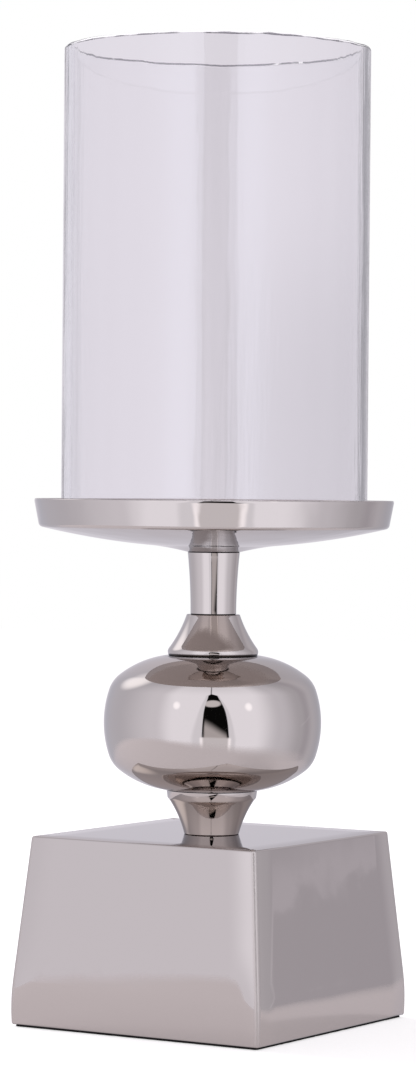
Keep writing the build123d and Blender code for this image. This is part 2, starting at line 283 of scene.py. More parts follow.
class LampSettings(bpy.types.PropertyGroup):
    """All settings of the candle lamp"""

    metal: PointerProperty(type=MetalSettings)
    stem: PointerProperty(type=StemSettings)
    plate: PointerProperty(type=PlateSettings)
    base: PointerProperty(type=BaseSettings)
    glass: PointerProperty(type=GlassSettings)
    felt: PointerProperty(type=FeltSettings)
    fastening: PointerProperty(type=FasteningSettings)
    stage: PointerProperty(type=StageSettings)


# Node trees

class Output:
    """An output of a node. One that is a number takes the signs of arithmetic."""

    def __init__(self, wires, socket):
        self.wires = wires
        self.socket = socket

    def __add__(self, other):
        return self.wires.math("ADD", self, other)

    def __sub__(self, other):
        return self.wires.math("SUBTRACT", self, other)

    def __rsub__(self, other):
        return self.wires.math("SUBTRACT", other, self)

    def __mul__(self, other):
        return self.wires.math("MULTIPLY", self, other)

    def __truediv__(self, other):
        return self.wires.math("DIVIDE", self, other)

    def __rtruediv__(self, other):
        return self.wires.math("DIVIDE", other, self)

    def __pow__(self, power):
        return self.wires.math("POWER", self, power)

    def __abs__(self):
        return self.wires.math("ABSOLUTE", self)

    def root(self):
        """Its square root."""
        return self.wires.math("SQRT", self)

    def ease(self, start, end, low=0.0, high=1.0):
        """A smooth step from a low to a high value, as this goes from a start to an end."""
        inputs = {"Value": self, "From Min": start, "From Max": end, "To Min": low, "To Max": high}
        return self.wires.make("MapRange", inputs, interpolation_type="SMOOTHSTEP")


class Wires:
    """Adds nodes to one node tree and joins them."""

    def __init__(self, tree):
        self.tree = tree

    def node(self, kind, inputs=None, **settings):
        """A new node, with its settings and its inputs."""
        node = self.tree.nodes.new("ShaderNode" + kind)
        for name, setting in settings.items():
            setattr(node, name, setting)
        self.fill(node, inputs or {})
        return node

    def fill(self, node, inputs):
        """Join inputs of a node to outputs, or set their values."""
        for name, value in inputs.items():
            socket = node.inputs[name]
            if isinstance(value, Output):
                self.tree.links.new(value.socket, socket)
            elif socket.type == "RGBA":
                socket.default_value = (*value, 1.0)
            else:
                socket.default_value = value

    def outputs(self, node):
        """All outputs of a node, by name."""
        return {socket.name: Output(self, socket) for socket in node.outputs}

    def make(self, kind, inputs=None, output=0, **settings):
        """One output of a new node."""
        return Output(self, self.node(kind, inputs, **settings).outputs[output])

    def math(self, operation, *terms, clamp=False):
        """The result of a sum on numbers."""
        return self.make("Math", dict(enumerate(terms)), operation=operation, use_clamp=clamp)

    def vector(self, operation, *terms, output="Vector"):
        """The result of a sum on vectors."""
        return self.make("VectorMath", dict(enumerate(terms)), output, operation=operation)

    def dot(self, one, other):
        """The dot product of two vectors."""
        return self.vector("DOT_PRODUCT", one, other, output="Value")

    def scaled(self, vector, factor):
        """A vector or a colour times a number."""
        return self.make("VectorMath", {"Vector": vector, "Scale": factor}, operation="SCALE")

    def mix(self, factor, low, high):
        """A colour between two."""
        return self.make("Mix", {0: factor, 6: low, 7: high}, 2, data_type="RGBA")

    def blend(self, factor, one, other):
        """A shader between two."""
        return self.make("MixShader", {0: factor, 1: one, 2: other})

    def axes(self, vector):
        """The three parts of a vector."""
        return list(self.outputs(self.node("SeparateXYZ", {"Vector": vector})).values())

    def facing_up(self):
        """How far a face looks up, 1 where it is level."""
        return self.axes(self.make("TexCoord", output="Normal"))[2]

    def noise(self, vector, scale, detail=2.0, roughness=0.5):
        """Soft noise between 0 and 1."""
        inputs = {"Vector": vector, "Scale": scale, "Detail": detail, "Roughness": roughness}
        return self.make("TexNoise", inputs)

    def bump(self, height, strength=1.0, distance=1.0):
        """The normal of a surface with such heights."""
        return self.make("Bump", {"Strength": strength, "Distance": distance, "Height": height})


def new_material(name):
    """A node material, its wires, its shader and its object coordinates."""
    material = bpy.data.materials.new(name)
    material.use_nodes = True
    wires = Wires(material.node_tree)
    shader = material.node_tree.nodes["Principled BSDF"]
    return material, wires, shader, wires.make("TexCoord", output="Object")


def new_group(name, inputs, outputs):
    """The wires of a new shader node group with these named sockets, its inputs and its output node."""
    tree = bpy.data.node_groups.new(name, "ShaderNodeTree")
    for in_out, sockets in (("INPUT", inputs), ("OUTPUT", outputs)):
        for socket in sockets:
            kind = "NodeSocketVector" if socket == "Vector" else "NodeSocketFloat"
            tree.interface.new_socket(socket, in_out=in_out, socket_type=kind)
    wires = Wires(tree)
    return wires, wires.outputs(tree.nodes.new("NodeGroupInput")), tree.nodes.new("NodeGroupOutput")


def shared_effect(wires, name, inputs):
    """The outputs of a shared group, built once and placed in a material with its own values."""
    if name not in bpy.data.node_groups:
        EFFECTS[name](name)
    return wires.outputs(wires.node("Group", inputs, node_tree=bpy.data.node_groups[name]))


# Effects that several finishes share

# Wipe marks in one wave, and waviness per metre along a buffing line
WIPES_PER_WAVE = 3.1
WAVES_PER_LINE = 14.0


def hand_polish(name):
    """Slow waves left by polishing by hand, and faint wipe marks."""
    wires, given, made = new_group(name, ("Vector", "Wave Length", "Wave Depth"), ("Height", "Haze"))
    place = wires.scaled(given["Vector"], 1.0 / given["Wave Length"])
    slow = wires.noise(place, 1.0, detail=1.5, roughness=0.35) - 0.5
    wipes = wires.noise(place, WIPES_PER_WAVE, detail=4.0, roughness=0.6)
    wires.fill(made, {"Height": slow * given["Wave Depth"], "Haze": wipes.ease(0.48, 0.72)})


def buffing_lines(name):
    """Fine lines of the buffing wheel, close across them and long along them."""
    wires, given, made = new_group(name, ("Across", "Along", "Spacing", "Depth"), ("Height",))
    across = given["Across"] * (1.0 / given["Spacing"])
    place = wires.make("CombineXYZ", {"X": across, "Y": given["Along"] * WAVES_PER_LINE})
    line = wires.noise(place, 1.0, roughness=0.6) - 0.5
    wires.fill(made, {"Height": line * given["Depth"]})


def seam_painted_shade(name):
    """Mask of the painted shade beside a seam, from the height and the heights of two seams."""
    wires, given, made = new_group(name, ("Height", "Low Seam", "High Seam", "Width"), ("Mask",))
    to_low = abs(given["Height"] - given["Low Seam"])
    to_high = abs(given["Height"] - given["High Seam"])
    nearest = wires.math("MINIMUM", to_low, to_high)
    wires.fill(made, {"Mask": nearest.ease(0.0, given["Width"], 1.0, 0.0)})


EFFECTS = {"hand_polish": hand_polish, "buffing_lines": buffing_lines, "seam_painted_shade": seam_painted_shade}


# Finishes

# A height over the lamp, for the second seam of a piece that has only one
NO_SEAM = 1.0
# How far up a face looks where its finish turns into that of a level face, start and end
LEVEL = (0.6, 0.95)
# The same for the block, between the rounding of its flanks and of its top
TOP_EDGE = (0.2, 0.7)
# Dull core of the block's upright edges, by their width, and where its flanks start, by its half width
EDGE_CORE = 0.4
FLANK = (0.8, 0.85)


def polished_finish(name, metal, polish, seams, block=False, worn=0.0):
    """Mirror-polished nickel, with painted shade in a dark colour beside two seams.

    Polish is the settings group with its waves and its roughness. A block is rounded and dulled towards its
    edges. Worn is the roughness of level faces that things stand on.
    """
    material, wires, shader, place = new_material(name)
    x, y, z = wires.axes(place)
    facing_up = wires.facing_up()
    depth = facing_up.ease(*LEVEL, polish.wave_depth, polish.wave_depth * metal.level_share)
    waves = shared_effect(
        wires, "hand_polish", {"Vector": place, "Wave Length": polish.wave_length, "Wave Depth": depth}
    )
    across, along = (x, z) if block else ((x ** 2 + y ** 2).root() + z, x)
    lines = shared_effect(
        wires,
        "buffing_lines",
        {"Across": across, "Along": along, "Spacing": metal.line_spacing, "Depth": metal.line_depth},
    )
    # Painted shade: the base colour turns dark within a seam width of each seam
    painted_shade = shared_effect(
        wires,
        "seam_painted_shade",
        {"Height": z, "Low Seam": seams[0], "High Seam": seams[1], "Width": metal.seam_width},
    )
    height = waves["Height"] + lines["Height"]
    rough = waves["Haze"].ease(0.0, 1.0, polish.clean_roughness, polish.haze_roughness)
    if block:
        normal, rough = edged(wires, (x, y, z), facing_up, height, rough, polish)
    else:
        normal = wires.bump(height)
    if worn:
        rough = wires.math("MAXIMUM", rough, facing_up.ease(*LEVEL, 0.0, worn))
    wires.fill(shader, {
        "Base Color": wires.mix(painted_shade["Mask"], metal.nickel, metal.seam_shade_colour),
        "Roughness": rough,
        "Normal": normal,
        "Metallic": 1.0,
        "Specular Tint": metal.grazing,
    })
    return material


def edged(wires, place, facing_up, height, rough, base):
    """Normal and roughness of a block, rounded by polishing and dulled by handling towards its edges."""
    x, y, z = place
    from_corner = abs(x) - abs(y)
    at_side = wires.math("MAXIMUM", abs(x), abs(y))
    blended = (from_corner ** 2 + base.crown_blend ** 2).root() - base.crown_blend
    reach = wires.math("DIVIDE", blended, base.crown_width, clamp=True)
    rounded = height - (1.0 - reach) ** 2 * base.crown_depth
    drawn_in = z.ease(base.swell_low, base.swell_high, -base.swell_depth, 0.0)
    amid = from_corner.ease(0.0, -base.swell_margin)
    growth = x * (base.swell_growth / base.half_width) + 1.0
    lifted = z.ease(base.swell_low, base.lift_high, base.lift_depth, 0.0)
    on_x = from_corner.ease(0.0, base.swell_margin)
    flank = wires.bump(rounded + drawn_in * amid * growth + lifted * on_x)
    inward = wires.math("DIVIDE", base.top_half - at_side, base.top_width, clamp=True)
    top = wires.bump(height - (1.0 - inward) ** 2 * base.top_depth)
    normal = wires.make("Mix", {0: facing_up.ease(*TOP_EDGE), 4: flank, 5: top}, 1, data_type="VECTOR")
    near = abs(from_corner).ease(base.edge_width, EDGE_CORE * base.edge_width)
    dull = near * at_side.ease(*(part * base.half_width for part in FLANK)) * base.edge_roughness
    return wires.vector("NORMALIZE", normal), wires.math("MAXIMUM", rough, dull)


# Upward scale of the glass's streaks, and the scales of its slow waves, chips, swelling and smears per metre
STREAK_SCALE = 0.06
GLASS_WAVES = 18.0
GLASS_CHIPS = 90.0
GLASS_SWELLS = 14.0
GLASS_SMEARS = 40.0
GLASS_IOR = 1.47


def glass_finish(glass, outer):
    """Clear glass with upright streaks and ground edges, of an outer radius; the inner edges of its cut ends
    carry painted shade.
    """
    material, wires, shader, place = new_material("clear_glass")
    x, y, _ = wires.axes(place)
    drawn = wires.vector("MULTIPLY", place, (1.0, 1.0, STREAK_SCALE))
    streaks = wires.noise(drawn, 1.0 / glass.streak_width, detail=3.5, roughness=0.62) - 0.5
    slow = wires.noise(place, GLASS_WAVES, detail=1.0) - 0.5
    # The inner edge of the cut rim and foot turns dark in broken patches: partly the ground edge's own grey,
    # partly painted shade
    cut = abs(wires.facing_up()).ease(0.08, 0.25)
    inner = (x ** 2 + y ** 2).root().ease(outer - 0.75 * glass.wall, outer - 0.5 * glass.wall, 1.0, 0.0)
    broken = wires.noise(place, GLASS_CHIPS, detail=3.0).ease(0.28, 0.42)
    facing = wires.make("LayerWeight", {"Blend": 0.5}, "Facing")
    swell = wires.noise(place, GLASS_SWELLS) * 0.5 - 0.25
    clear = wires.mix((facing + swell).ease(0.80, 0.94), glass.tint, glass.side_tint)
    wires.fill(shader, {
        "Base Color": wires.mix(cut * inner * broken, clear, glass.rim_edge_and_shade_tint),
        "Roughness": wires.noise(place, GLASS_SMEARS, detail=3.0).ease(0.5, 0.8, 0.0, 0.02),
        "Normal": wires.bump((streaks + slow) * glass.streak_depth),
        "Transmission Weight": 1.0,
        "IOR": GLASS_IOR,
    })
    return material


# Scale of the felt's clumps per metre, and how much lighter its lightest are
FELT_CLUMPS = 130.0
FELT_LIGHT = 1.5


def felt_finish(felt):
    """Pressed black felt."""
    material, wires, shader, place = new_material("black_felt")
    clumps = wires.noise(place, FELT_CLUMPS)
    light = [FELT_LIGHT * part for part in felt.shade]
    wires.fill(shader, {
        "Base Color": wires.mix(clumps.ease(0.3, 0.7), felt.shade, light),
        "Roughness": clumps.ease(0.2, 0.8, 0.85, 1.0),
        "Normal": wires.bump(clumps, strength=0.15, distance=0.0003),
        "Specular IOR Level": 0.15,
    })
    return material


# Scales of the zinc's patches and grain, and of the paint's orange peel and dust, per metre
ZINC_PATCHES = 220.0
ZINC_GRAIN = 2400.0
PAINT_PEEL = 900.0
PAINT_DUST = 140.0


def zinc_finish(fastening):
    """Bright zinc plate, faintly blue and yellow where it was passivated."""
    material, wires, shader, place = new_material("zinc_plate")
    patches = wires.noise(place, ZINC_PATCHES, detail=3.0, roughness=0.6)
    wires.fill(shader, {
        "Base Color": wires.mix(patches.ease(0.35, 0.7), fastening.zinc, fastening.warm_zinc),
        "Roughness": patches.ease(0.2, 0.8, 0.22, 0.42),
        "Normal": wires.bump(wires.noise(place, ZINC_GRAIN), strength=0.4, distance=0.00005),
        "Metallic": 1.0,
    })
    return material


def paint_finish(fastening):
    """Satin black paint with a slight orange peel."""
    material, wires, shader, place = new_material("black_paint")
    dust = wires.noise(place, PAINT_DUST, detail=4.0, roughness=0.65).ease(0.55, 0.8)
    wires.fill(shader, {
        "Base Color": wires.mix(dust, fastening.paint, fastening.dust),
        "Roughness": dust.ease(0.0, 1.0, 0.38, 0.6),
        "Normal": wires.bump(wires.noise(place, PAINT_PEEL), strength=0.5, distance=0.00006),
    })
    return material


# Modelling by hand

def bow_arc(start, end, bow, steps=12):
    """Points of an arc whose middle stands off its chord to the left by a bow."""
    chord = Vector(end) - Vector(start)
    left = Vector((-chord.y, chord.x)).normalized()
    half_turn = 2 * atan(2 * bow / chord.length)
    radius = chord.length / (2 * sin(half_turn))
    points = []
    for step in range(steps + 1):
        turn = half_turn * (2 * step / steps - 1)
        along = 0.5 + sin(turn) / (2 * sin(half_turn))
        points.append(Vector(start) + chord * along + left * radius * (cos(turn) - cos(half_turn)))
    return points


def name_piece(name):
    """The object that was just made, with a name of its own, in edit mode."""
    piece = bpy.context.object
    piece.name = name
    piece.data.name = name
    bpy.ops.object.mode_set(mode="EDIT")
    return piece


def turn_piece(name, outline, steps):
    """Turn a closed outline of (radius, height) points about the axis, and stay in edit mode."""
    bpy.ops.object.select_all(action="DESELECT")
    bpy.ops.mesh.primitive_plane_add(size=hypot(*outline[0]))
    piece = name_piece(name)
    bpy.ops.mesh.select_mode(type="VERT")
    bpy.ops.mesh.select_all(action="SELECT")
    bpy.ops.mesh.merge(type="CENTER")
    bpy.ops.transform.translate(value=(outline[0][0], 0, outline[0][1]))
    for before, after in pairwise([*outline, outline[0]]):
        step = (after[0] - before[0], 0, after[1] - before[1])
        bpy.ops.mesh.extrude_vertices_move(TRANSFORM_OT_translate={"value": step})
    bpy.ops.mesh.select_all(action="SELECT")
    bpy.ops.mesh.spin(steps=steps, angle=tau, center=(0, 0, 0), axis=(0, 0, 1))
    bpy.ops.mesh.select_all(action="SELECT")
    bpy.ops.mesh.remove_doubles(threshold=MERGE_DISTANCE)
    bpy.ops.mesh.normals_make_consistent(inside=False)
    return piece


def merged_copy(node, name):
    """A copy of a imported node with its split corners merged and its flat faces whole, in edit mode."""
    original = frame["nodes"][node]
    bpy.ops.object.select_all(action="DESELECT")
    original.select_set(True)
    bpy.context.view_layer.objects.active = original
    bpy.ops.object.duplicate()
    piece = name_piece(name)
    del piece["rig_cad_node"]
    bpy.ops.mesh.select_mode(type="FACE")
    bpy.ops.mesh.select_all(action="SELECT")
    bpy.ops.mesh.customdata_custom_splitnormals_clear()
    bpy.ops.mesh.remove_doubles(threshold=MERGE_DISTANCE)
    bpy.ops.mesh.dissolve_limited(angle_limit=FLAT_ANGLE)
    return piece


def select_where(piece, kind, wanted):
    """Select the vertices or the edges of a piece that a test wants, in edit mode."""
    bpy.ops.mesh.select_mode(type=kind)
    bpy.ops.mesh.select_all(action="DESELECT")
    mesh = bmesh.from_edit_mesh(piece.data)
    for part in mesh.verts if kind == "VERT" else mesh.edges:
        if wanted(part):
            part.select_set(True)
    if kind == "VERT":
        mesh.select_flush_mode()
    bmesh.update_edit_mesh(piece.data)


def soften_ring(piece, place, width, segments=3):
    """Bevel the edge ring of a turned piece at a radius and a height."""
    def on_ring(vertex):
        off_radius = hypot(vertex.co.x, vertex.co.y) - place[0]
        return hypot(off_radius, vertex.co.z - place[1]) < PLACE_TOLERANCE

    select_where(piece, "EDGE", lambda edge: all(on_ring(vertex) for vertex in edge.verts))
    bpy.ops.mesh.bevel(offset=width, segments=segments, affect="EDGES")


def apply_modifier(piece, kind, **settings):
    """Add a modifier with its settings to the active piece, and apply it."""
    bpy.ops.object.modifier_add(type=kind)
    modifier = piece.modifiers[-1]
    for name, setting in settings.items():
        setattr(modifier, name, setting)
    bpy.ops.object.modifier_apply(modifier=modifier.name)


def give_finish(piece, material):
    """Make a finish the only material of a piece."""
    piece.data.materials.clear()
    piece.data.materials.append(material)


def finish_piece(piece, node, body, material):
    """Shade a modelled piece, give it its finish, and let it stand for its node on a body."""
    bpy.ops.object.mode_set(mode="OBJECT")
    bpy.ops.object.shade_smooth_by_angle(angle=SMOOTH_ANGLE)
    apply_modifier(piece, "WEIGHTED_NORMAL", keep_sharp=True)
    give_finish(piece, material)
    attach(piece, body)
    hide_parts(node)
    piece.select_set(False)


# Outlines of the turned pieces, as (radius, height) points

# Steps along the arcs of the cone's band, the sleeve and the bowl, and the fewest and the turn of the ball's
BAND_STEPS = 8
SLEEVE_STEPS = 14
BOWL_STEPS = 16
BALL_STEPS = 8
BALL_TURN = radians(2)


def seam_heights():
    """Heights of the seams up the stem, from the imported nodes."""
    ball_low, ball_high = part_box("ball_shell")
    return {
        "base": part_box("base_block")[1].z,
        "ball_low": ball_low.z,
        "ball_high": ball_high.z,
        "sleeve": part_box("shoulder_cone")[1].z,
        "plate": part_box("drip_plate")[0].z,
    }


def bored(stem, side, foot_z, top_z, end):
    """Outline of a bored piece: its side over a spigot, and an end with its radius and its height."""
    radius, end_z = end
    spigot_z = foot_z - stem.spigot_length
    return [
        (stem.spigot, foot_z),
        *side,
        (radius, top_z),
        (radius, end_z),
        (stem.bore, end_z),
        (stem.bore, spigot_z),
        (stem.spigot, spigot_z),
    ]


def neck_outline(stem, seams):
    """Neck with a spigot at each end."""
    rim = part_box("lower_neck")[1].x
    foot_z, top_z = seams["base"], seams["ball_low"]
    band = (rim - stem.neck_band_taper, top_z - stem.neck_band)
    step = (band[0] - stem.neck_step_width, band[1] - stem.neck_step_height)
    side = [*bow_arc((stem.neck_foot, foot_z), step, stem.neck_bow), band, (rim, top_z)]
    return bored(stem, side, foot_z, top_z, (stem.spigot, top_z + stem.spigot_length))


def ball_quarter(stem, inset, flat):
    """Quarter outline of the ball about its middle, inset by a wall, up to a flat at a height."""
    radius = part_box("ball_shell")[1].x
    arcs = (
        (stem.ball_side, stem.ball_side_turn),
        (stem.ball_shoulder, stem.ball_shoulder_turn),
        (stem.ball_crown, None),
    )
    points = []
    centre = Vector((radius, 0))
    heading = 0.0
    spoke = Vector((1, 0))
    for arc_radius, arc_turn in arcs:
        centre -= spoke * arc_radius
        if arc_turn is None:
            arc_turn = asin((flat - centre.y) / (arc_radius - inset)) - heading
        steps = max(BALL_STEPS, round(arc_turn / BALL_TURN))
        for step in range(steps + 1):
            turn = heading + arc_turn * step / steps
            points.append(centre + Vector((cos(turn), sin(turn))) * (arc_radius - inset))
        heading += arc_turn
        spoke = Vector((cos(heading), sin(heading)))
        centre += spoke * arc_radius
    return points


def without_repeats(points):
    """Points with neighbours that coincide dropped."""
    kept = [points[0]]
    for point in points[1:]:
        if (Vector(point) - Vector(kept[-1])).length > PLACE_TOLERANCE:
            kept.append(point)
    return kept


def ball_outline(stem, seams):
    """Hollow flattened ball with a socket through each pole."""
    middle = (seams["ball_low"] + seams["ball_high"]) / 2
    half = (seams["ball_high"] - seams["ball_low"]) / 2
    inner_half = half - stem.ball_wall
    outer = [*ball_quarter(stem, 0, half), Vector((stem.socket, half))]
    inner = [*ball_quarter(stem, stem.ball_wall, inner_half), Vector((stem.socket, inner_half))]
    lower = [(p.x, middle - p.y) for p in reversed(outer)]
    upper = [(p.x, middle + p.y) for p in [*outer, *reversed(inner)]]
    inner_lower = [(p.x, middle - p.y) for p in inner]
    return without_repeats(lower + upper + inner_lower)


def cone_outline(stem, seams):
    """Shoulder cone with a spigot into the ball and a socket for the sleeve."""
    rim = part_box("shoulder_cone")[1].x
    foot_z, top_z = seams["ball_high"], seams["sleeve"]
    band_z = foot_z + stem.cone_band
    edge = rim - stem.cone_band_bow
    step = (rim - stem.cone_step_width, band_z + stem.cone_step_height)
    side = [
        *bow_arc((edge - stem.cone_band_taper, foot_z), (edge, band_z), -stem.cone_band_bow, BAND_STEPS),
        *bow_arc(step, (stem.cone_top, top_z), stem.cone_bow),
    ]
    return bored(stem, side, foot_z, top_z, (stem.socket, top_z - stem.socket_depth))


def sleeve_outline(stem, seams):
    """Sleeve, upright at its foot and widening in one arc, with a spigot at each end."""
    foot_z, top_z = seams["sleeve"], seams["plate"]
    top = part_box("stem_sleeve")[1].x
    widening, rise = top - stem.sleeve_foot, top_z - foot_z
    bow = hypot(widening, rise) / 2 * tan(atan2(widening, rise) / 2)
    side = bow_arc((stem.sleeve_foot, foot_z), (top, top_z), bow, SLEEVE_STEPS)
    return bored(stem, side, foot_z, top_z, (stem.spigot, top_z + stem.spigot_length))


def plate_corners(plate):
    """Corners of the plate's rim, ledge and well, from the outside in."""
    low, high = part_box("drip_plate")
    ledge_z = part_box("glass_shade")[0].z
    lean = tan(plate.rim_lean)
    rim_low_z = low.z + plate.bowl_height
    outer_top = high.x
    inner_top = outer_top - plate.rim_thickness
    return {
        "rim_low": (outer_top - (high.z - rim_low_z) * lean, rim_low_z),
        "rim_outer": (outer_top, high.z - plate.rim_land),
        "rim_lip": (outer_top - plate.rim_land * tan(plate.rim_land_lean), high.z),
        "rim_inner": (inner_top, high.z),
        "ledge_outer": (inner_top - (high.z - ledge_z) * lean, ledge_z),
        "ledge_inner": (plate.well, ledge_z),
        "well_edge": (plate.well, ledge_z - plate.well_depth),
    }


def plate_outline(plate, stem, seams, corners):
    """Plate with a socket for the sleeve and a tapped hole for the rod."""
    foot_z = seams["plate"]
    socket_z = foot_z + stem.socket_depth
    well_z = corners["well_edge"][1]
    roof_z = well_z - plate.roof
    hub_end = (plate.flare, foot_z + plate.flare_height)
    return without_repeats([
        *bow_arc((plate.hub, foot_z), hub_end, plate.flare_bow),
        *bow_arc(hub_end, corners["rim_low"], -plate.bowl_bow, BOWL_STEPS),
        *corners.values(),
        (0, well_z),
        (0, roof_z),
        (plate.tapped, roof_z),
        (plate.tapped, socket_z),
        (stem.socket, socket_z),
        (stem.socket, foot_z),
    ])


# Stage

# Tones of the tent's wall, by the angle from the camera's side, towards the viewer's right
WALL_TONES = (
    (-180, (0.80, 0.76, 0.815)),
    (-172, (0.83, 0.79, 0.845)),
    (-150, (0.72, 0.72, 0.80)),
    (-116, (0.66, 0.665, 0.745)),
    (-64, (0.855, 0.86, 0.96)),
    (-42, (1.12, 1.14, 1.265)),
    (45, (1.12, 1.14, 1.265)),
    (78, (0.755, 0.76, 0.85)),
    (108, (0.56, 0.56, 0.62)),
    (119, (0.51, 0.50, 0.56)),
    (134, (0.64, 0.63, 0.69)),
    (150, (0.62, 0.61, 0.67)),
    (172, (0.69, 0.665, 0.715)),
    (180, (0.80, 0.76, 0.815)),
)
# Heights between which the wall dims towards its roof, and what is left of its light there
ROOF = (radians(25), radians(75))
ROOF_LIGHT = 0.8
# Soft spots where lamps shine through the wall: angle, height angle, half width and strength
WALL_SPOTS = (
    (-130, 36, 21, 0.75),
    (-40, 20, 5, 0.42),
    (40, 19, 5, 0.42),
)
# Fold in the wall at the right, a wavy sloping line over which it is lighter for a short way
FOLD_LEFT = radians(104)
FOLD_RIGHT = radians(130)
FOLD_ENDS = radians(8)
FOLD_MIDDLE = radians(117.3)
FOLD_HEIGHT = radians(-0.77)
FOLD_SLOPE = 0.2
FOLD_WAVES = 220.0
FOLD_WAVE_HEIGHT = radians(0.5)
FOLD_SOFTNESS = radians(0.03)
FOLD_FADE = (radians(1.1), radians(0.1))
FOLD_LIGHT = 1.16
# Gap in the tent that the camera looks through, pointed at the top, with a slit over it
GAP_TIP = radians(39)
GAP_TIP_PLACE = radians(-2)
GAP_FOOT = radians(-14)
GAP_LEFT = radians(-11.5)
GAP_RIGHT = radians(18.5)
GAP_TAPER = 0.3
GAP_ROUNDING = 5.0
GAP_SOFTNESS = radians(1)
GAP_DARK = (0.004, 0.004, 0.004)
SLIT_HALF = radians(0.8)
SLIT_START = (GAP_TIP - radians(6), GAP_TIP - radians(2))
SLIT_SHARE = 0.75
SLIT_TONE = (0.03, 0.028, 0.028)
# Behind the gap: paler below a slanted line, a pale oval high up, and pale along the foot
LOW_SLANT = 0.6
LOW_START = (radians(5), radians(-6))
LOW_MARGIN = (radians(1.5), radians(4))
LOW_TONE = (0.58, 0.555, 0.58)
OVAL_HEIGHT = radians(24)
OVAL_HALVES = (radians(11), radians(4.4))
OVAL_TONE = (0.78, 0.76, 0.80)
FOOT_RISE = radians(3)
FOOT_TONE = (0.80, 0.79, 0.85)
# Hems of the gap: dimmer cloth beside it, narrower towards the tip and on the right, and bright at the foot
HEM_WIDTHS = (radians(11), radians(0.5))
HEM_RIGHT = 0.6
HEM_EDGE = (1.3, 0.7)
HEM_LIGHT = 0.84
BRIGHT_WIDTH = radians(3)
BRIGHT_TONE = (1.35, 1.35, 1.46)
# Wall seen through the glass: its tone, the angles where it sets in and its share there
GLASS_TONE = (0.775, 0.74, 0.795)
GLASS_START = (radians(30), radians(50))
GLASS_SHARE = 0.8
# That wall is dimmer low at the right, and in a stripe past the right edge; places are sines of angles
LOW_RIGHT_PLACE = (-0.02, 0.042)
LOW_RIGHT_HEIGHT = (radians(5.5), radians(0.5))
LOW_RIGHT_LIGHT = 0.84
STRIPE_LEFT = (0.27, 0.31)
STRIPE_RIGHT = (0.56, 0.50)
STRIPE_LIGHT = 0.3
# What is left of the tent's and the cloth's light when metal mirrors metal, and the cloth's fading edge
TENT_AGAIN = 0.92
CLOTH_AGAIN = 0.72
CLOTH_EDGE = (0.75, 1.2)


class LAMP_OT_stage(bpy.types.Operator):
    """Set up the camera, the tent, the soft lamp and the floor"""

    bl_idname = "lamp.stage"
    bl_label = "Stage"

    def execute(self, context):
        stage = context.scene.candle_lamp.stage
        context.scene.view_settings.view_transform = "Standard"
        place_camera(context.scene, stage)
        build_tent(context.scene, stage)
        hang_lamp(context.scene, stage)
        lay_floor(stage)
        return {"FINISHED"}


def place_camera(scene, stage):
    """Camera at the photograph's place."""
    data = bpy.data.cameras.new("camera")
    data.lens = stage.lens
    camera = bpy.data.objects.new("camera", data)
    ahead, aside = cos(stage.azimuth), sin(stage.azimuth)
    camera.location = (stage.distance * aside, -stage.distance * ahead, stage.height)
    camera.rotation_euler = (pi / 2 - stage.aim_down, -stage.roll, stage.azimuth + stage.aim_left)
    scene.collection.objects.link(camera)
    scene.camera = camera


def floor_directions(stage):
    """Directions along the floor, to the camera's side and to the viewer's right."""
    front = Vector((sin(stage.azimuth), -cos(stage.azimuth), 0))
    right = Vector((cos(stage.azimuth), sin(stage.azimuth), 0))
    return front, right


def build_tent(scene, stage):
    """White light tent: plain white to the eye, and its soft tones in the metal and the glass."""
    world = bpy.data.worlds.new("light_tent")
    scene.world = world
    world.use_nodes = True
    wires = Wires(world.node_tree)
    direction = wires.make("TexCoord", output="Generated")
    front, right = floor_directions(stage)
    to_right = wires.dot(direction, right)
    around = wires.math("ARCTAN2", to_right, wires.dot(direction, front))
    upward = wires.math("ARCSINE", wires.axes(direction)[2])
    tent = wall_tone(wires, direction, around, upward)
    tent = open_gap(wires, tent, around, upward)
    for place, height, half_width, strength in WALL_SPOTS:
        level = front * cos(radians(place)) + right * sin(radians(place))
        spot = level * cos(radians(height)) + Vector((0, 0, sin(radians(height))))
        glow = wires.dot(direction, spot).ease(cos(radians(half_width)), 1.0, 0.0, strength)
        tent = wires.vector("ADD", tent, wires.scaled((1, 1, 1), glow))
    rays = wires.outputs(wires.node("LightPath"))
    unseen = wires.mix(rays["Is Glossy Ray"], [stage.daylight] * 3, tent)
    low_right = to_right.ease(*LOW_RIGHT_PLACE) * upward.ease(*LOW_RIGHT_HEIGHT)
    in_stripe = to_right.ease(*STRIPE_LEFT) * to_right.ease(*STRIPE_RIGHT)
    light = low_right.ease(0.0, 1.0, 1.0, LOW_RIGHT_LIGHT) * in_stripe.ease(0.0, 1.0, 1.0, STRIPE_LIGHT)
    aside = abs(around).ease(*GLASS_START, 0.0, GLASS_SHARE)
    through = wires.mix(aside, tent, wires.scaled(GLASS_TONE, light))
    unseen = wires.mix(rays["Is Transmission Ray"], unseen, through)
    unseen = wires.scaled(unseen, rays["Glossy Depth"].ease(1.0, 2.0, 1.0, TENT_AGAIN))
    background = world.node_tree.nodes["Background"]
    wires.fill(background, {"Color": wires.mix(rays["Is Camera Ray"], unseen, (1, 1, 1))})


